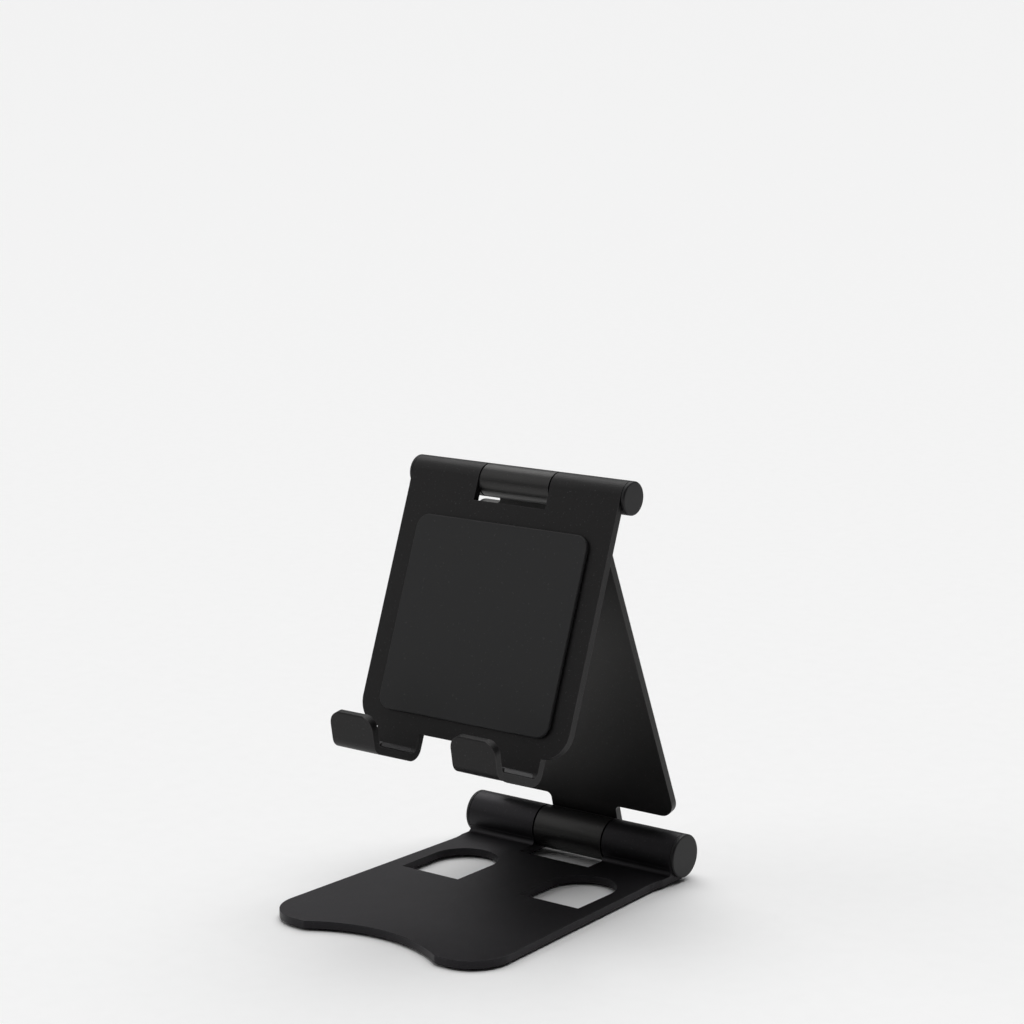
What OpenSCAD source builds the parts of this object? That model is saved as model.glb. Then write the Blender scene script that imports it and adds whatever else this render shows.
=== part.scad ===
// Foldable phone stand in anodised aluminium: a base plate, a swinging arm and a holder
// with two hooks, joined by two friction hinges. Millimetres, +Z up, front towards -Y.
// The origin is on the table, in the middle of the base and its hinge barrel.

/* [Base plate] */
// Distance from the base hinge axis to the front edge
base_reach = 72.5; // [68:0.5:90]
// Width of the base across its front
base_front_w = 59.1; // [57.4:0.1:59.6]
// Angle by which each side edge draws in towards the hinge
base_side_angle = 2.2; // [1.8:0.1:2.6]
// Radius of the two front corners
base_corner_r = 9; // [5:0.5:11]
// Radius of the finger notch in the front edge
notch_r = 31.7; // [28:0.1:36]
// Depth of the finger notch
notch_depth = 5.2; // [3:0.1:6]
// Thickness of the three plates
plate_t = 1.7; // [1.5:0.05:1.75]

/* [Hook windows] */
// Distance of each window's centre from the middle of the base
window_x = 16.1; // [15.8:0.1:16.6]
// Width of a window, which is also the diameter of its round end
window_w = 15.5; // [14.5:0.1:16]
// Distance from the base hinge axis to the straight front side of a window
window_front = 32.9; // [32.5:0.1:36]
// Distance from the base hinge axis to where the round end starts
window_round = 21.4; // [20:0.1:24]

/* [Hinge barrels] */
// Diameter of the base hinge barrel
base_barrel_d = 9.6; // [9.4:0.1:10.4]
// Diameter of the holder hinge barrel
holder_barrel_d = 7.2; // [7:0.1:7.4]
// Length of both barrels over their end caps
barrel_len = 57.1; // [56.5:0.1:58]
// Width of the middle knuckle, which belongs to the arm
knuckle_w = 18.2; // [17:0.1:18.4]
// Gap between two knuckles, which holds a thin washer
knuckle_gap = 0.4; // [0.4:0.05:0.6]
// Distance from the base hinge axis to the front of the knuckle slot in the base
slot_reach = 9.65; // [8:0.05:11]

/* [Arm] */
// Distance from the base hinge axis to the holder hinge axis, along the arm
arm_reach = 84.1; // [83:0.1:85.5]
// Lean of the arm, forwards from vertical
arm_lean = 14; // [5:0.5:20]
// Width of the arm at its lower shoulders
arm_low_w = 50; // [44:0.1:54]
// Width of the arm at its upper shoulders
arm_high_w = 33.7; // [30:0.1:44]
// Width of the two necks between the shoulders and the knuckles
neck_w = 17.8; // [14:0.1:18]
// Distance from the base hinge axis to the lower shoulders
shoulder_low = 6.9; // [6.5:0.1:10]
// Distance from the holder hinge axis back to the upper shoulders
shoulder_high = 6.4; // [5.5:0.1:10]
// Radius of the arm's outer corners
arm_corner_r = 3.4; // [2:0.1:5]

/* [Holder] */
// Lean of the holder, backwards from vertical
holder_lean = 21; // [15:0.5:30]
// Distance from the holder hinge axis to the underside of the hooks
holder_reach = 62.2; // [60:0.1:63]
// Width of the holder plate
holder_w = 55.2; // [48:0.2:56]
// Height of the plate's lower edge above the underside of the hooks
holder_edge = 6; // [5.5:0.1:9]
// Radius of the plate's lower corners
holder_corner_r = 6; // [3:0.5:8]
// Width of a hook
hook_w = 11.5; // [9:0.1:12]
// Depth of the hook floor from the plate's front face to the root of the lip
hook_depth = 13; // [10:0.1:13.5]
// Length of the lip, along its outer face
lip_len = 7.9; // [6.5:0.1:8.3]
// Outward lean of the lip
lip_lean = 30; // [20:0.5:32]
// Radius of the lip's corners
lip_corner_r = 3; // [1.5:0.1:4]

/* [Soft pads] */
// Thickness of a foot pad under the base
foot_t = 1; // [0.9:0.1:1.1]
// Height by which a foot pad stands out of the base
foot_proud = 0.5; // [0.4:0.1:0.6]
// Diameter of a foot pad
foot_d = 9; // [7:0.5:10]
// Thickness of the pad on the holder plate
back_pad_t = 0.8; // [0.5:0.05:0.85]
// Thickness of the pad on a hook floor
hook_pad_t = 1; // [0.6:0.1:1.4]

/* [Hidden] */
$fn = 96;
eps = 0.01;

base_r = base_barrel_d / 2;
holder_r = holder_barrel_d / 2;
// The plate's underside sits a little lower than the barrel
barrel_lift = 0.45;
// The arm's rear face lies this far inside the outermost line of its two knuckles
rear_sink = 0.03;
hinge_y = (base_reach - base_r) / 2;
hinge_z = foot_proud + barrel_lift + base_r;
front_y = hinge_y - base_reach;
plate_top = foot_proud + plate_t;

// Stations along a barrel, measured from its middle
knuckle_x = knuckle_w / 2;
inner_x = knuckle_x + knuckle_gap;
cap_t = 0.8;
cap_gap = 0.12;
outer_x = barrel_len / 2 - cap_t - cap_gap;
plug_len = 2;
head_depth = 6;
nut_depth = 10;

// Base hinge hardware: an M3 thread on a 4 mm shank
base_bore_d = 7;
base_shank_d = 4;
base_thread_d = 3;
base_bush_d = 5.6;
base_nut_flats = 5.5;
// Holder hinge hardware: an M2 thread on a 2.6 mm shank
holder_bore_d = 5.2;
holder_shank_d = 2.6;
holder_thread_d = 2;
holder_bush_d = 4;
holder_nut_flats = 4;
run_clear = 0.06;
fit_clear = 0.04;
washer_t = 0.3;
spring_count = 4;
spring_t = 0.35;
spring_rise = 0.15;
spring_pitch = spring_t + spring_rise + 0.02;
spring_stack = spring_count * spring_pitch;

// The holder hinge axis lies flush with the arm's rear face, like the base hinge
holder_axis_y = base_r - holder_r;
holder_half_w = min(holder_w / 2, outer_x);
holder_pos = [0,
    hinge_y + holder_axis_y * cos(arm_lean) - arm_reach * sin(arm_lean),
    hinge_z + holder_axis_y * sin(arm_lean) + arm_reach * cos(arm_lean)];

// Holder plate and hook, as distances behind and above the holder hinge axis
plate_front = -holder_r;
plate_rear = plate_front + plate_t;
hook_floor = -holder_reach + plate_t;
hook_root = plate_front - hook_depth;
hook_inner_root = hook_root - plate_t * tan(lip_lean) + plate_t / cos(lip_lean);
bend_r = 3;
lip_bend_r = 2.6;

// A corner v between its neighbours p and n, rounded by an arc of radius r
function unit(v) = v / norm(v);
function half_angle(p, v, n) = acos(unit(p - v) * unit(n - v)) / 2;
function turn(p, v, n) = cross(v - p, n - v);
function arc_centre(p, v, n, r) = v + unit(unit(p - v) + unit(n - v)) * r / sin(half_angle(p, v, n));
function touch_points(p, v, n, r) = r == 0 ? [v] :
    [for (q = [p, n]) v + unit(q - v) * r / tan(half_angle(p, v, n))];

// An outline listed anticlockwise, with one radius for each corner and true arcs
module rounded_outline(points, radii) {
    count = len(points);
    before = [for (i = [0:count - 1]) points[(i + count - 1) % count]];
    after = [for (i = [0:count - 1]) points[(i + 1) % count]];
    difference() {
        union() {
            polygon([for (i = [0:count - 1])
                each touch_points(before[i], points[i], after[i], radii[i])]);
            for (i = [0:count - 1])
                if (radii[i] > 0 && turn(before[i], points[i], after[i]) > 0)
                    corner_sector(before[i], points[i], after[i], radii[i]);
        }
        for (i = [0:count - 1])
            if (radii[i] > 0 && turn(before[i], points[i], after[i]) < 0)
                corner_sector(before[i], points[i], after[i], radii[i]);
    }
}

// The circle is a hair larger than the arc, so that it crosses both sides and leaves no sliver
module corner_sector(p, v, n, r) {
    hair = 0.0005;
    centre = arc_centre(p, v, n, r);
    touch = touch_points(p, v, n, r);
    intersection() {
        translate(centre)
            circle(r = r + hair);
        polygon([touch[0], v, touch[1], centre]);
    }
}

module along_x(from, to, r) {
    translate([from, 0, 0])
        rotate([0, 90, 0])
            cylinder(r = r, h = to - from);
}

module tube_x(from, to, r_out, r_in) {
    difference() {
        along_x(from, to, r_out);
        along_x(from - 1, to + 1, r_in);
    }
}

// A side profile in the YZ plane, extruded along X between two stations
module profile_x(from, to) {
    translate([from, 0, 0])
        rotate([90, 0, 90])
            linear_extrude(to - from)
                children();
}

module at_base_hinge() {
    translate([0, hinge_y, hinge_z])
        children();
}

module arm_frame() {
    at_base_hinge()
        rotate([arm_lean, 0, 0])
            children();
}

module holder_frame() {
    translate(holder_pos)
        rotate([-holder_lean, 0, 0])
            children();
}

module both_sides() {
    children();
    mirror([1, 0, 0])
        children();
}

// Bores along the axis of a pair of outer knuckles
module knuckle_bores(bore_d, shank_d) {
    along_x(-outer_x - 1, outer_x + 1, (shank_d + fit_clear) / 2);
    along_x(-outer_x - 1, -outer_x + head_depth, bore_d / 2);
    along_x(outer_x - nut_depth, outer_x + 1, bore_d / 2);
}

// Pin with a slotted head on the left and a thread on the right
module hinge_pin_shape(shank_d, thread_d, bore_d) {
    head_h = 2.4;
    head_from = -outer_x + head_depth - head_h;
    thread_from = outer_x - nut_depth + spring_stack;
    slot_w = 0.25 * shank_d;
    difference() {
        union() {
            along_x(head_from, head_from + head_h, bore_d / 2 - 0.2);
            along_x(head_from + head_h - eps, thread_from, shank_d / 2);
            along_x(thread_from - eps, outer_x - plug_len - 0.6, thread_d / 2);
        }
        translate([head_from - 1, -bore_d / 2, -slot_w / 2])
            cube([1.8, bore_d, slot_w]);
    }
}

module hinge_nut_shape(flats, thread_d) {
    nut_from = outer_x - nut_depth + spring_stack + 0.1;
    nut_h = 0.8 * thread_d;
    difference() {
        translate([nut_from, 0, 0])
            rotate([0, 90, 0])
                cylinder(d = flats / cos(30), h = nut_h, $fn = 6);
        along_x(nut_from - 1, nut_from + nut_h + 1, (thread_d + fit_clear) / 2);
    }
}

// Dished washers stacked back to back
module disc_springs_shape(bore_d, shank_d) {
    r_in = shank_d / 2 + 0.1;
    r_out = bore_d / 2 - 0.15;
    high = spring_t + spring_rise;
    for (i = [0:spring_count - 1])
        translate([outer_x - nut_depth + i * spring_pitch, 0, 0])
            rotate([0, 90, 0])
                rotate_extrude()
                    polygon(i % 2 == 0
                        ? [[r_in, spring_rise], [r_out, 0], [r_out, spring_t], [r_in, high]]
                        : [[r_in, 0], [r_out, spring_rise], [r_out, high], [r_in, spring_t]]);
}

module knuckle_washers_shape(barrel_r, shank_d) {
    both_sides()
        tube_x(inner_x - washer_t, inner_x, barrel_r - 0.3, shank_d / 2 + 0.1);
}

// Right-hand end cap: a rounded lid on a plug that presses into the knuckle
module end_cap_shape(barrel_r, bore_d) {
    rim_r = 0.35;
    lid_from = outer_x + cap_gap;
    lid_to = lid_from + cap_t;
    rotate([0, 90, 0]) {
        rotate_extrude() {
            translate([0, lid_from])
                square([barrel_r, cap_t - rim_r]);
            translate([0, lid_from])
                square([barrel_r - rim_r, cap_t]);
            translate([barrel_r - rim_r, lid_to - rim_r])
                intersection() {
                    circle(r = rim_r);
                    square(rim_r);
                }
            translate([0, outer_x - plug_len])
                square([bore_d / 2, plug_len + cap_gap + eps]);
        }
    }
}

// Outline of the base plate, seen from above
module base_outline() {
    slope = tan(base_side_angle);
    front_x = base_front_w / 2;
    rear_y = hinge_y;
    flare_r = 12;
    flare_y = hinge_y - 11;
    flare_x = front_x - slope * (flare_y - front_y);
    notch_y = front_y + notch_depth - notch_r;
    difference() {
        rounded_outline(
            [[front_x, front_y], [flare_x, flare_y], [outer_x, flare_y], [outer_x, rear_y],
             [-outer_x, rear_y], [-outer_x, flare_y], [-flare_x, flare_y], [-front_x, front_y]],
            [base_corner_r, 0, 0, 0, 0, 0, 0, base_corner_r]);
        both_sides()
            translate([flare_x, flare_y] + flare_r * [cos(base_side_angle), sin(base_side_angle)])
                circle(r = flare_r);
        translate([0, notch_y])
            circle(r = notch_r, $fn = 180);
        both_sides()
            cusp_trim(notch_y);
        both_sides()
            window_outline();
        translate([-inner_x, hinge_y - slot_reach])
            square([2 * inner_x, slot_reach + 1]);
    }
}

// Rounds the sharp tip between the notch and the front edge
module cusp_trim(notch_y) {
    tip_r = 1;
    tip_y = front_y + tip_r;
    tip_x = sqrt(pow(notch_r + tip_r, 2) - pow(tip_y - notch_y, 2));
    toward_notch = unit([-tip_x, notch_y - tip_y]);
    touch = [tip_x, tip_y] + tip_r * toward_notch;
    difference() {
        translate([touch[0], front_y - 1])
            square([tip_x - touch[0], touch[1] - front_y + 1]);
        translate([tip_x, tip_y])
            circle(r = tip_r);
    }
}

module window_outline() {
    straight = window_front - window_round;
    translate([window_x, hinge_y - window_round]) {
        circle(d = window_w);
        translate([-window_w / 2, -straight])
            square([window_w, straight]);
    }
}

// Side profile of an outer base knuckle, with the fillet where it meets the plate
module base_knuckle_profile() {
    fillet_r = 1;
    centre_z = plate_top + fillet_r;
    centre_y = -sqrt(pow(base_r + fillet_r, 2) - pow(centre_z - hinge_z, 2));
    touch_z = hinge_z + (centre_z - hinge_z) * base_r / (base_r + fillet_r);
    translate([hinge_y, hinge_z])
        circle(r = base_r);
    difference() {
        translate([hinge_y + centre_y, foot_proud])
            square([-centre_y, touch_z - foot_proud]);
        translate([hinge_y + centre_y, centre_z])
            circle(r = fillet_r);
    }
}

module foot_shape(side, end) {
    x = end == "front" ? 20 : 21;
    y = end == "front" ? front_y + 11 : hinge_y - 9;
    translate([side * x, y, 0])
        cylinder(d = foot_d, h = foot_t);
}

module base_plate() {
    color("#3a383c")
        difference() {
            union() {
                translate([0, 0, foot_proud])
                    linear_extrude(plate_t)
                        base_outline();
                profile_x(inner_x, outer_x)
                    base_knuckle_profile();
                profile_x(-outer_x, -inner_x)
                    base_knuckle_profile();
            }
            at_base_hinge()
                knuckle_bores(base_bore_d, base_shank_d);
            for (side = [-1, 1], end = ["front", "rear"])
                foot_shape(side, end);
        }
}

module foot_front_left() {
    color("#1c1c1e")
        foot_shape(-1, "front");
}

module foot_front_right() {
    color("#1c1c1e")
        foot_shape(1, "front");
}

module foot_rear_left() {
    color("#1c1c1e")
        foot_shape(-1, "rear");
}

module foot_rear_right() {
    color("#1c1c1e")
        foot_shape(1, "rear");
}

module base_hinge_pin() {
    color("#9a9a9c")
        at_base_hinge()
            hinge_pin_shape(base_shank_d, base_thread_d, base_bore_d);
}

module base_hinge_nut() {
    color("#9a9a9c")
        at_base_hinge()
            hinge_nut_shape(base_nut_flats, base_thread_d);
}

module base_hinge_springs() {
    color("#7d7f82")
        at_base_hinge()
            disc_springs_shape(base_bore_d, base_shank_d);
}

module base_hinge_washers() {
    color("#151516")
        at_base_hinge()
            knuckle_washers_shape(base_r, base_shank_d);
}

module base_cap_right() {
    color("#333236")
        at_base_hinge()
            end_cap_shape(base_r, base_bore_d);
}

module base_cap_left() {
    color("#333236")
        at_base_hinge()
            mirror([1, 0, 0])
                end_cap_shape(base_r, base_bore_d);
}

// Outline of the arm, in its own plane, with the base hinge axis at Y = 0
module arm_outline() {
    low_x = arm_low_w / 2;
    high_x = arm_high_w / 2;
    neck_x = neck_w / 2;
    high_y = arm_reach - shoulder_high;
    neck_fillet_r = 1.2;
    rounded_outline(
        [[neck_x, 0], [neck_x, shoulder_low], [low_x, shoulder_low], [high_x, high_y],
         [neck_x, high_y], [neck_x, arm_reach], [-neck_x, arm_reach], [-neck_x, high_y],
         [-high_x, high_y], [-low_x, shoulder_low], [-neck_x, shoulder_low], [-neck_x, 0]],
        [0, neck_fillet_r, arm_corner_r, arm_corner_r, neck_fillet_r, 0,
         0, neck_fillet_r, arm_corner_r, arm_corner_r, neck_fillet_r, 0]);
}

module arm() {
    color("#2e2d30")
        arm_frame()
            difference() {
                union() {
                    translate([0, base_r - rear_sink, 0])
                        rotate([90, 0, 0])
                            linear_extrude(plate_t)
                                arm_outline();
                    along_x(-knuckle_x, knuckle_x, base_r);
                    translate([0, holder_axis_y, arm_reach])
                        along_x(-knuckle_x, knuckle_x, holder_r);
                }
                along_x(-knuckle_x - 1, knuckle_x + 1, base_bush_d / 2);
                translate([0, holder_axis_y, arm_reach])
                    along_x(-knuckle_x - 1, knuckle_x + 1, holder_bush_d / 2);
            }
}

module base_hinge_bush() {
    color("#d8d4c8")
        arm_frame()
            tube_x(-knuckle_x, knuckle_x, base_bush_d / 2, (base_shank_d + run_clear) / 2);
}

module holder_hinge_bush() {
    color("#d8d4c8")
        arm_frame()
            translate([0, holder_axis_y, arm_reach])
                tube_x(-knuckle_x, knuckle_x, holder_bush_d / 2, (holder_shank_d + run_clear) / 2);
}

// Outline of the holder plate from the front, with the holder hinge axis at Y = 0
module holder_outline() {
    low_y = -holder_reach + holder_edge;
    difference() {
        rounded_outline(
            [[-holder_half_w, low_y], [holder_half_w, low_y], [holder_half_w, 0], [-holder_half_w, 0]],
            [holder_corner_r, holder_corner_r, 0, 0]);
        translate([-inner_x, -holder_r - 1.6])
            square([2 * inner_x, holder_r + 2]);
    }
}

// Side profile of a hook: down from the plate, along the floor and up the lip
module hook_profile() {
    high = -holder_reach + holder_edge + 4;
    lip_dir = [-sin(lip_lean), cos(lip_lean)];
    lip_normal = [cos(lip_lean), sin(lip_lean)];
    lip_root = [hook_root, -holder_reach];
    lip_tip = lip_root + lip_len * lip_dir;
    tip_r = 0.4;
    rounded_outline(
        [[plate_rear, -holder_reach], [plate_rear, high], [plate_front, high],
         [plate_front, hook_floor], [hook_inner_root, hook_floor],
         lip_tip + plate_t * lip_normal, lip_tip, lip_root],
        [bend_r, 0, 0, bend_r - plate_t, lip_bend_r - plate_t, tip_r, tip_r, lip_bend_r]);
}

// What lies outside the rounded top corner of a lip, on the right
module lip_corner_trim() {
    reach = 3;
    straight = hook_w / 2 - lip_corner_r;
    translate([0, hook_root, -holder_reach])
        rotate([lip_lean, 0, 0])
            translate([0, reach, lip_len - lip_corner_r])
                rotate([90, 0, 0])
                    linear_extrude(2 * reach)
                        difference() {
                            translate([straight, 0])
                                square([2 * lip_corner_r, 2 * lip_corner_r]);
                            translate([straight, 0])
                                circle(r = lip_corner_r);
                        }
}

module hook() {
    difference() {
        profile_x(-hook_w / 2, hook_w / 2)
            hook_profile();
        both_sides()
            lip_corner_trim();
    }
}

// Side profile of an outer holder knuckle, merging into the plate below it
module holder_knuckle_profile() {
    circle(r = holder_r);
    translate([-holder_r, -holder_r])
        square([plate_t, holder_r]);
}

module holder() {
    color("#2e2d30")
        holder_frame()
            difference() {
                union() {
                    translate([0, plate_rear, 0])
                        rotate([90, 0, 0])
                            linear_extrude(plate_t)
                                holder_outline();
                    profile_x(inner_x, outer_x)
                        holder_knuckle_profile();
                    profile_x(-outer_x, -inner_x)
                        holder_knuckle_profile();
                    for (side = [-1, 1])
                        translate([side * window_x, 0, 0])
                            hook();
                }
                knuckle_bores(holder_bore_d, holder_shank_d);
            }
}

module holder_hinge_pin() {
    color("#9a9a9c")
        holder_frame()
            hinge_pin_shape(holder_shank_d, holder_thread_d, holder_bore_d);
}

module holder_hinge_nut() {
    color("#9a9a9c")
        holder_frame()
            hinge_nut_shape(holder_nut_flats, holder_thread_d);
}

module holder_hinge_springs() {
    color("#7d7f82")
        holder_frame()
            disc_springs_shape(holder_bore_d, holder_shank_d);
}

module holder_hinge_washers() {
    color("#151516")
        holder_frame()
            knuckle_washers_shape(holder_r, holder_shank_d);
}

module holder_cap_right() {
    color("#333236")
        holder_frame()
            end_cap_shape(holder_r, holder_bore_d);
}

module holder_cap_left() {
    color("#333236")
        holder_frame()
            mirror([1, 0, 0])
                end_cap_shape(holder_r, holder_bore_d);
}

module holder_back_pad() {
    half_w = holder_half_w - 5;
    low = -holder_reach + holder_edge + 4;
    high = -holder_r - 6;
    corner_r = 3;
    color("#232325")
        holder_frame()
            translate([0, plate_front, 0])
                rotate([90, 0, 0])
                    linear_extrude(back_pad_t)
                        rounded_outline(
                            [[-half_w, low], [half_w, low], [half_w, high], [-half_w, high]],
                            [corner_r, corner_r, corner_r, corner_r]);
}

module hook_pad_shape(side) {
    from = hook_inner_root + 0.6;
    to = plate_front - 1.3;
    side_inset = 0.15;
    translate([side * window_x - hook_w / 2 + side_inset, from, hook_floor])
        cube([hook_w - 2 * side_inset, to - from, hook_pad_t]);
}

module hook_pad_left() {
    color("#5a5955")
        holder_frame()
            hook_pad_shape(-1);
}

module hook_pad_right() {
    color("#5a5955")
        holder_frame()
            hook_pad_shape(1);
}

base_plate();
foot_front_left();
foot_front_right();
foot_rear_left();
foot_rear_right();
base_hinge_pin();
base_hinge_nut();
base_hinge_springs();
base_hinge_washers();
base_cap_left();
base_cap_right();
arm();
base_hinge_bush();
holder_hinge_bush();
holder();
holder_hinge_pin();
holder_hinge_nut();
holder_hinge_springs();
holder_hinge_washers();
holder_cap_left();
holder_cap_right();
holder_back_pad();
hook_pad_left();
hook_pad_right();
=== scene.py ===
# A folding phone stand in black anodised aluminium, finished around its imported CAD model.
import math

import bmesh
import bpy
from mathutils import Euler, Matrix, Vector


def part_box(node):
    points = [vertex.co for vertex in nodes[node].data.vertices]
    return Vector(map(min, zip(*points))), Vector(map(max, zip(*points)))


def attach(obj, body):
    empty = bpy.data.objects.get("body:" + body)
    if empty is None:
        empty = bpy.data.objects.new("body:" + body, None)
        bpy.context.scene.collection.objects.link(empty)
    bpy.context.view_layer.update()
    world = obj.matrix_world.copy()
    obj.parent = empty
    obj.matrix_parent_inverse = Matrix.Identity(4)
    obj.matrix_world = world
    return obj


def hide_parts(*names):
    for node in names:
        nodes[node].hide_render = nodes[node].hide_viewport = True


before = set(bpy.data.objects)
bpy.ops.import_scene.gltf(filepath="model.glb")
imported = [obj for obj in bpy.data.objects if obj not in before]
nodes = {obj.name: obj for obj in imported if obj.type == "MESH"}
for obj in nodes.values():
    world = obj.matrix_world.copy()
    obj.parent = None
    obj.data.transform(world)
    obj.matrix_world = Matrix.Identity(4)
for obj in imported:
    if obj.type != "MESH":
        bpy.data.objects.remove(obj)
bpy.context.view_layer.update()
mm = 0.001


# The base plate: 1.7 mm aluminium, stamped, rolled round its two outer knuckles, blasted with fine
# glass beads and anodised black. The arm and the holder share that finish. Their outer edges are
# painted lighter: partly dye rubbed thin by handling, partly painted highlight on the edges.
class Socket:
    """One output of a node tree. Its operators add Math nodes."""

    def __init__(self, tree, out):
        self.tree = tree
        self.out = out

    def add(self, kind, settings=None, inputs=None, output=0):
        """Adds any node, with its settings and its inputs' values or links, and gives one output."""
        node = self.tree.nodes.new(kind)
        for key, value in (settings or {}).items():
            setattr(node, key, value)
        for key, value in (inputs or {}).items():
            if isinstance(value, Socket):
                self.tree.links.new(value.out, node.inputs[key])
            else:
                node.inputs[key].default_value = value
        return Socket(self.tree, node.outputs[output])

    def math(self, operation, a, b=0.0, clamp=False):
        return self.add("ShaderNodeMath", {"operation": operation, "use_clamp": clamp}, {0: a, 1: b})

    def __add__(self, other):
        return self.math("ADD", self, other)

    def __mul__(self, other):
        return self.math("MULTIPLY", self, other)

    def __sub__(self, other):
        return self.math("SUBTRACT", self, other)

    def __rsub__(self, other):
        return self.math("SUBTRACT", other, self)

    __radd__ = __add__
    __rmul__ = __mul__


def new_material(name):
    """A material with a Principled shader, its tree and its Object coordinates."""
    material = bpy.data.materials.new(name)
    material.use_nodes = True
    tree = material.node_tree
    shader = tree.nodes["Principled BSDF"]
    place = Socket(tree, tree.nodes.new("ShaderNodeTexCoord").outputs["Object"])
    return material, shader, place


def noise(place, scale, detail=2.0, rough=0.5):
    """Cloudy noise from 0 to 1, with scale in cells to the metre."""
    settings = {"noise_dimensions": "3D"}
    inputs = {"Vector": place, "Scale": scale, "Detail": detail, "Roughness": rough}
    return place.add("ShaderNodeTexNoise", settings, inputs)


def blend_colour(share, first, second):
    """Goes from the first colour to the second as share goes from 0 to 1."""
    inputs = {0: share, 6: first, 7: second}
    return share.add("ShaderNodeMix", {"data_type": "RGBA"}, inputs, 2)


def feed(socket, shader, name):
    socket.tree.links.new(socket.out, shader.inputs[name])


def bump(height, strength, distance):
    inputs = {"Height": height, "Strength": strength, "Distance": distance}
    return height.add("ShaderNodeBump", {}, inputs)


bead_scale = 5200.0
pit_scale = 3300.0
bead_depth = 0.06 * mm
plate_edge = 0.35 * mm
rare = 0.705
bare_metal_and_glint = (0.06, 0.058, 0.061, 1.0)
worn_edge = 0.14 * mm


def edge_wear_and_glint(place, radius):
    """Grows from 0 on open faces to 1 on outer edges, broken up by fine scratches. It marks edge wear and a
    painted edge highlight alike.
    """
    edge_gain = 3.4
    nook_reach = 1.2 * mm
    rounded = place.add("ShaderNodeBevel", {"samples": 6}, {"Radius": radius})
    flat = place.add("ShaderNodeNewGeometry", output=1)
    same = place.add("ShaderNodeVectorMath", {"operation": "DOT_PRODUCT"}, {0: rounded, 1: flat}, 1)
    turned = place.math("MULTIPLY", 1.0 - same, edge_gain, clamp=True)
    nook = place.add("ShaderNodeAmbientOcclusion", {"samples": 4, "only_local": True},
                     {"Distance": nook_reach}, 1)
    proud = place.add("ShaderNodeMath", {"operation": "MULTIPLY_ADD", "use_clamp": True},
                      {0: nook, 1: 4.0, 2: -2.6})
    return turned * proud * (0.3 + 0.9 * noise(place, 900.0, 3.0))


def anodised(name, dye, roughness, gloss, tint):
    """Blasted and dyed aluminium: bead marks in tone and height, edges lighter as wear and as painted
    highlight, and a few specks.
    """
    material, shader, place = new_material(name)
    dye_spread = 0.2
    thin_dye = [channel * (1.0 + dye_spread) for channel in dye] + [1.0]
    deep_dye = [channel * (1.0 - dye_spread) for channel in dye] + [1.0]
    cloud = noise(place, 38.0, 3.0)
    beads = noise(place, bead_scale, 1.0, 0.4)
    pits = place.add("ShaderNodeTexVoronoi", {"feature": "F1"}, {"Vector": place, "Scale": pit_scale})
    wear_and_glint = edge_wear_and_glint(place, plate_edge)
    speck = place.math("GREATER_THAN", noise(place, 2600.0, 1.0), rare)
    tone = blend_colour(0.35 * cloud + 0.65 * beads, deep_dye, thin_dye)
    # The outer edges go towards the bare grey: partly wear, partly painted highlight. The specks are bare
    # metal.
    tone = blend_colour(place.math("ADD", 0.5 * wear_and_glint, 0.35 * speck, clamp=True), tone, bare_metal_and_glint)
    feed(tone, shader, "Base Color")
    handled = noise(place, 95.0, 4.0, 0.6)
    feed(roughness - 0.06 + 0.09 * handled + 0.05 * beads - 0.08 * wear_and_glint, shader, "Roughness")
    feed(bump(0.6 * beads + 0.4 * pits, 0.35, bead_depth), shader, "Normal")
    shader.inputs["Specular IOR Level"].default_value = gloss
    shader.inputs["Specular Tint"].default_value = tint
    return material


def apply_modifiers(piece):
    ready = piece.evaluated_get(bpy.context.evaluated_depsgraph_get())
    piece.data = bpy.data.meshes.new_from_object(ready)
    piece.modifiers.clear()


def softened(node, width, segments, material, body):
    """Stands in for a CAD node, with its sharp edges broken as deburring or moulding leaves them."""
    same_point = 0.00001 * mm
    flat_within = math.radians(0.6)
    edge_from = math.radians(32)
    mesh = nodes[node].data.copy()
    mesh.materials.clear()
    mesh.materials.append(material)
    shape = bmesh.new()
    shape.from_mesh(mesh)
    bmesh.ops.remove_doubles(shape, verts=shape.verts, dist=same_point)
    bmesh.ops.dissolve_limit(shape, angle_limit=flat_within, verts=shape.verts, edges=shape.edges)
    shape.to_mesh(mesh)
    shape.free()
    while mesh.uv_layers:
        mesh.uv_layers.remove(mesh.uv_layers[0])
    if "custom_normal" in mesh.attributes:
        mesh.attributes.remove(mesh.attributes["custom_normal"])
    piece = bpy.data.objects.new(node + "_finished", mesh)
    bpy.context.scene.collection.objects.link(piece)
    bevel = piece.modifiers.new("broken_edges", "BEVEL")
    bevel.width = width
    bevel.segments = segments
    bevel.limit_method = "ANGLE"
    bevel.angle_limit = edge_from
    bevel.use_clamp_overlap = True
    bevel.harden_normals = True
    apply_modifiers(piece)
    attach(piece, body)
    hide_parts(node)


base_black = anodised("black_anodised_base", (0.0064, 0.006, 0.007), 0.44, 0.3, (0.97, 0.93, 1.0, 1.0))
softened("base_plate", worn_edge, 2, base_black, "base")


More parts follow.
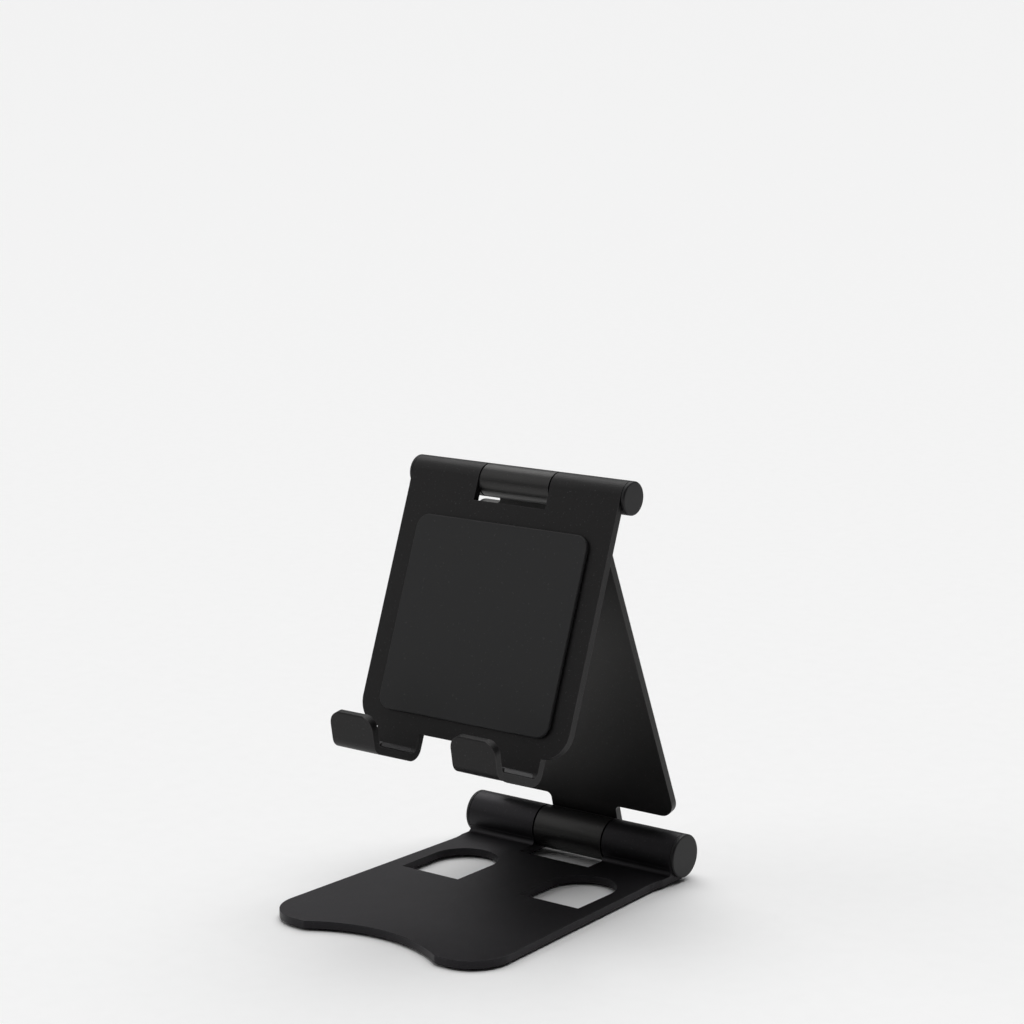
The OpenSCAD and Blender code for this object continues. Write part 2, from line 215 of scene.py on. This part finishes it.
# The grip feet: discs of soft black rubber stuck into round recesses under the base plate. Each
# is moulded with concentric ribs on its sole, and the ribs touch the table.
def ribbed_foot_tree(material):
    """A rubber foot at every point of the mesh given, with round ribs under it. Gives the tree and
    the identifiers of its sizes."""
    tree = bpy.data.node_groups.new("ribbed_foot", "GeometryNodeTree")

    def named_input(name, kind):
        return tree.interface.new_socket(name=name, in_out="INPUT", socket_type=kind).identifier

    named_input("Geometry", "NodeSocketGeometry")
    sizes = {name: named_input(name, "NodeSocketFloat")
             for name in ("Foot Radius", "Body Height", "Rib Radius", "First Ring", "Ring Step")}
    sizes["Ring Count"] = named_input("Ring Count", "NodeSocketInt")
    tree.interface.new_socket(name="Geometry", in_out="OUTPUT", socket_type="NodeSocketGeometry")
    size = tree.nodes.new("NodeGroupInput").outputs
    result = tree.nodes.new("NodeGroupOutput")

    def put(kind, inputs, **settings):
        node = tree.nodes.new(kind)
        for key, value in settings.items():
            setattr(node, key, value)
        for key, value in inputs.items():
            if isinstance(value, bpy.types.NodeSocket):
                tree.links.new(value, node.inputs[key])
            else:
                node.inputs[key].default_value = value
        return node.outputs[0]

    def moved_up(geometry, rise):
        offset = put("ShaderNodeCombineXYZ", {"Z": rise})
        return put("GeometryNodeTransform", {"Geometry": geometry, "Translation": offset})

    half = put("ShaderNodeMath", {0: size["Body Height"], 1: 0.5}, operation="MULTIPLY")
    rise = put("ShaderNodeMath", {0: half, 1: size["Rib Radius"]}, operation="ADD")
    body = put("GeometryNodeMeshCylinder", {"Vertices": 72, "Radius": size["Foot Radius"],
                                            "Depth": size["Body Height"]})
    # One point for each ring, all at the middle: a ring's own number sets how far out it lies.
    starts = put("GeometryNodeMeshLine", {"Count": size["Ring Count"], "Offset": (0, 0, 0)})
    number = put("GeometryNodeInputIndex", {})
    further = put("ShaderNodeMath", {0: number, 1: size["Ring Step"]}, operation="MULTIPLY")
    reach = put("ShaderNodeMath", {0: size["First Ring"], 1: further}, operation="ADD")
    circle = put("GeometryNodeCurvePrimitiveCircle", {"Resolution": 64, "Radius": 1.0}, mode="RADIUS")
    rings = put("GeometryNodeInstanceOnPoints", {"Points": starts, "Instance": circle, "Scale": reach})
    paths = put("GeometryNodeRealizeInstances", {"Geometry": rings})
    section = put("GeometryNodeCurvePrimitiveCircle", {"Resolution": 10, "Radius": size["Rib Radius"]},
                  mode="RADIUS")
    ribs = put("GeometryNodeCurveToMesh", {"Curve": paths, "Profile Curve": section})
    foot = tree.nodes.new("GeometryNodeJoinGeometry")
    tree.links.new(moved_up(ribs, size["Rib Radius"]), foot.inputs[0])
    tree.links.new(moved_up(body, rise), foot.inputs[0])
    feet = put("GeometryNodeInstanceOnPoints", {"Points": size["Geometry"], "Instance": foot.outputs[0]})
    real = put("GeometryNodeRealizeInstances", {"Geometry": feet})
    dressed = put("GeometryNodeSetMaterial", {"Geometry": real, "Material": material})
    tree.links.new(dressed, result.inputs[0])
    return tree, sizes


def grip_rubber():
    material, shader, place = new_material("black_foot_rubber")
    smudge = noise(place, 260.0, 4.0, 0.6)
    skin = noise(place, 2400.0, 2.0)
    dust = place.math("MULTIPLY", noise(place, 700.0, 3.0), smudge)
    feed(blend_colour(dust, (0.012, 0.012, 0.013, 1.0), (0.055, 0.053, 0.05, 1.0)), shader, "Base Color")
    feed(0.7 + 0.2 * smudge, shader, "Roughness")
    feed(bump(skin, 0.3, 0.1 * mm), shader, "Normal")
    return material


foot_nodes = ["foot_front_left", "foot_front_right", "foot_rear_left", "foot_rear_right"]
foot_boxes = [[Vector(corner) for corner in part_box(node)] for node in foot_nodes]
foot_low, foot_high = foot_boxes[0]
rib_radius = 0.16 * mm
spots = bpy.data.meshes.new("foot_spots")
spots.from_pydata([((low.x + high.x) / 2, (low.y + high.y) / 2, low.z) for low, high in foot_boxes], [], [])
rubber_feet = bpy.data.objects.new("ribbed_rubber_feet", spots)
bpy.context.scene.collection.objects.link(rubber_feet)
foot_tree, foot_sizes = ribbed_foot_tree(grip_rubber())
moulding = rubber_feet.modifiers.new("ribbed_foot", "NODES")
moulding.node_group = foot_tree
moulding[foot_sizes["Foot Radius"]] = (foot_high.x - foot_low.x) / 2
moulding[foot_sizes["Body Height"]] = foot_high.z - foot_low.z - rib_radius
moulding[foot_sizes["Rib Radius"]] = rib_radius
moulding[foot_sizes["First Ring"]] = 0.9 * mm
moulding[foot_sizes["Ring Step"]] = 0.95 * mm
moulding[foot_sizes["Ring Count"]] = 4
apply_modifiers(rubber_feet)
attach(rubber_feet, "base")
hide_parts(*foot_nodes)


# The arm: one strip of the same aluminium, tapered towards the top, with a middle knuckle rolled
# at each end. It stands between the two outer knuckles of the base and of the holder.
arm_black = anodised("black_anodised_arm", (0.0045, 0.0043, 0.0046), 0.38, 0.45, (1.0, 0.98, 0.96, 1.0))
softened("arm", 0.16 * mm, 2, arm_black, "arm")


# The holder: a plate with two hooks bent from it, which carry the phone's lower edge, and two
# knuckles rolled at its top.
holder_black = anodised("black_anodised_holder", (0.005, 0.0047, 0.005), 0.46, 0.28,
                        (1.0, 0.98, 0.98, 1.0))
softened("holder", worn_edge, 2, holder_black, "holder")


# The end caps: thin aluminium lids turned on a lathe and pressed into the barrels' ends. Their
# faces keep the faint rings that the tool left, under the same black dye.
def turned_black(name, centre):
    rings_to_the_metre = 26000.0
    material, shader, place = new_material(name)
    inset = place.add("ShaderNodeMapping", {}, {"Vector": place, "Location": (0, -centre.y, -centre.z)})
    flat = inset.add("ShaderNodeVectorMath", {"operation": "MULTIPLY"}, {0: inset, 1: (0, 1, 1)})
    radius = flat.add("ShaderNodeVectorMath", {"operation": "LENGTH"}, {0: flat}, 1)
    waver = 2.2 * noise(place, 420.0, 2.0)
    rings = radius.math("SINE", radius * rings_to_the_metre + waver)
    beads = noise(place, bead_scale, 1.0, 0.4)
    wear_and_glint = edge_wear_and_glint(place, 0.3 * mm)
    shade = place.math("ADD", 0.3 + 0.12 * rings, 0.4 * noise(place, 60.0, 3.0), clamp=True)
    tone = blend_colour(shade, (0.0042, 0.004, 0.0046, 1.0), (0.008, 0.0077, 0.0086, 1.0))
    # The caps' outer edges are painted lighter too: partly wear, partly painted highlight.
    tone = blend_colour(0.55 * wear_and_glint, tone, (0.07, 0.068, 0.071, 1.0))
    feed(tone, shader, "Base Color")
    feed(0.46 + 0.07 * beads + 0.03 * rings - 0.07 * wear_and_glint, shader, "Roughness")
    feed(bump(0.5 * rings + 0.5 * beads, 0.16, 0.04 * mm), shader, "Normal")
    shader.inputs["Specular IOR Level"].default_value = 0.35
    return material


def middle(node):
    low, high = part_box(node)
    return (Vector(low) + Vector(high)) / 2


for hinge, body in (("base", "base"), ("holder", "holder")):
    lid_black = turned_black(hinge + "_cap_black", middle(hinge + "_cap_left"))
    for side in ("left", "right"):
        softened(hinge + "_cap_" + side, 0.1 * mm, 2, lid_black, body)


# The hinge hardware: a turned steel pin with a nut and a stack of disc springs in each barrel.
# Rolling and turning leave fine rings round the pin's length, and handling oil dulls them.
def turned_steel():
    material, shader, place = new_material("turned_steel")
    stretched = place.add("ShaderNodeMapping", {}, {"Vector": place, "Scale": (1.0, 0.06, 0.06)})
    lines = noise(stretched, 9000.0, 2.0)
    oil = noise(place, 480.0, 3.0, 0.6)
    tone = blend_colour(0.5 * lines + 0.5 * oil, (0.36, 0.355, 0.35, 1.0), (0.56, 0.555, 0.55, 1.0))
    feed(tone, shader, "Base Color")
    feed(0.24 + 0.16 * oil + 0.08 * lines, shader, "Roughness")
    feed(bump(lines, 0.25, 0.03 * mm), shader, "Normal")
    shader.inputs["Metallic"].default_value = 1.0
    return material


def give(node, material):
    for slot in nodes[node].material_slots:
        slot.material = material


steel = turned_steel()
for hinge in ("base", "holder"):
    for part in ("pin", "nut", "springs"):
        give(hinge + "_hinge_" + part, steel)


# The washers and bushes: injection-moulded acetal, black between the knuckles and ivory in the
# arm's bores, where the pins rub. Both have the matt skin of a spark-eroded mould.
def acetal(name, dark, light, roughness):
    material, shader, place = new_material(name)
    flow = noise(place, 300.0, 3.0)
    skin = noise(place, 3800.0, 2.0)
    feed(blend_colour(0.6 * flow + 0.4 * skin, dark, light), shader, "Base Color")
    feed(roughness + 0.14 * flow + 0.08 * skin, shader, "Roughness")
    feed(bump(skin, 0.25, 0.04 * mm), shader, "Normal")
    shader.inputs["Specular IOR Level"].default_value = 0.4
    return material


washer_black = acetal("black_acetal", (0.006, 0.006, 0.0065, 1.0), (0.011, 0.011, 0.012, 1.0), 0.45)
bush_ivory = acetal("ivory_acetal", (0.62, 0.59, 0.51, 1.0), (0.72, 0.69, 0.61, 1.0), 0.34)
for hinge in ("base", "holder"):
    give(hinge + "_hinge_washers", washer_black)
    give(hinge + "_hinge_bush", bush_ivory)


# The pads: silicone sheet, die-cut and glued on. A black one covers the holder's front, and a
# grey one lies on each hook's floor under the phone's edge.
def silicone(name, dark, light, roughness):
    material, shader, place = new_material(name)
    cloudy = noise(place, 120.0, 3.0)
    skin = noise(place, 4200.0, 2.0, 0.45)
    lint = place.math("GREATER_THAN", noise(place, 1700.0, 1.0), 0.72)
    lint_grey = (0.25, 0.25, 0.25, 1.0)
    tone = blend_colour(0.7 * cloudy + 0.3 * skin, dark, light)
    feed(blend_colour(0.06 * lint, tone, lint_grey), shader, "Base Color")
    feed(roughness + 0.1 * cloudy + 0.06 * skin, shader, "Roughness")
    feed(bump(skin, 0.22, 0.05 * mm), shader, "Normal")
    shader.inputs["Specular IOR Level"].default_value = 0.4
    return material


pad_black = silicone("black_silicone", (0.012, 0.012, 0.0125, 1.0), (0.02, 0.02, 0.021, 1.0), 0.55)
hook_grey = silicone("grey_silicone", (0.055, 0.054, 0.056, 1.0), (0.072, 0.071, 0.073, 1.0), 0.38)
softened("holder_back_pad", 0.2 * mm, 3, pad_black, "holder")
softened("hook_pad_left", 0.22 * mm, 3, hook_grey, "holder")
softened("hook_pad_right", 0.22 * mm, 3, hook_grey, "holder")


# The studio: a pale floor that runs to the horizon, a dim room that is brighter overhead, and
# two large soft lights, one high behind the stand and one low on its left.
paper, paper_shader, paper_place = new_material("pale_paper")
fibre = noise(paper_place, 220.0, 3.0)
feed(blend_colour(fibre, (0.93, 0.93, 0.93, 1.0), (0.96, 0.96, 0.96, 1.0)), paper_shader, "Base Color")
paper_shader.inputs["Roughness"].default_value = 0.95
paper_shader.inputs["Specular IOR Level"].default_value = 0.1
far = 40.0
corners = [(-far, -far, 0), (far, -far, 0), (far, far, 0), (-far, far, 0)]
sheet = bpy.data.meshes.new("studio_floor")
sheet.from_pydata(corners, [], [(0, 1, 2, 3)])
sheet.materials.append(paper)
floor = bpy.data.objects.new("studio_floor", sheet)
bpy.context.scene.collection.objects.link(floor)

room = bpy.data.worlds.new("studio_room")
bpy.context.scene.world = room
room.use_nodes = True
air = room.node_tree
direction = Socket(air, air.nodes.new("ShaderNodeTexCoord").outputs["Generated"])
height = direction.add("ShaderNodeSeparateXYZ", {}, {0: direction}, 2)
dome = height.add("ShaderNodeMapRange", {}, {"Value": height, "From Min": 0.05, "From Max": 0.85,
                                             "To Min": 0.17, "To Max": 1.75})
air.links.new(dome.out, air.nodes["Background"].inputs["Strength"])


def sun(name, bearing, rise, spread, strength):
    """A soft light, far off at a compass bearing and a height above the horizon, in degrees."""
    light = bpy.data.lights.new(name, "SUN")
    light.angle = math.radians(spread)
    light.energy = strength
    lamp = bpy.data.objects.new(name, light)
    bpy.context.scene.collection.objects.link(lamp)
    lamp.rotation_euler = (math.radians(90 - rise), 0, math.radians(bearing))


sun("soft_overhead", 200, 66, 70, 2.75)
sun("soft_left", 300, 30, 50, 0.6)

# The camera looks down on the stand from its front right, from about sixty centimetres away.
eye = bpy.data.cameras.new("camera")
eye.sensor_width = 36.0
eye.lens = 98.37
camera = bpy.data.objects.new("camera", eye)
bpy.context.scene.collection.objects.link(camera)
camera.location = (0.3550, -0.4475, 0.1961)
turn, tilt, roll = math.radians(37.78), math.radians(11.11), math.radians(-0.54)
aim = Euler((math.pi / 2 - tilt, 0, turn)).to_matrix() @ Euler((0, 0, roll)).to_matrix()
camera.rotation_euler = aim.to_euler()
bpy.context.scene.camera = camera
bpy.context.scene.view_settings.view_transform = "Standard"
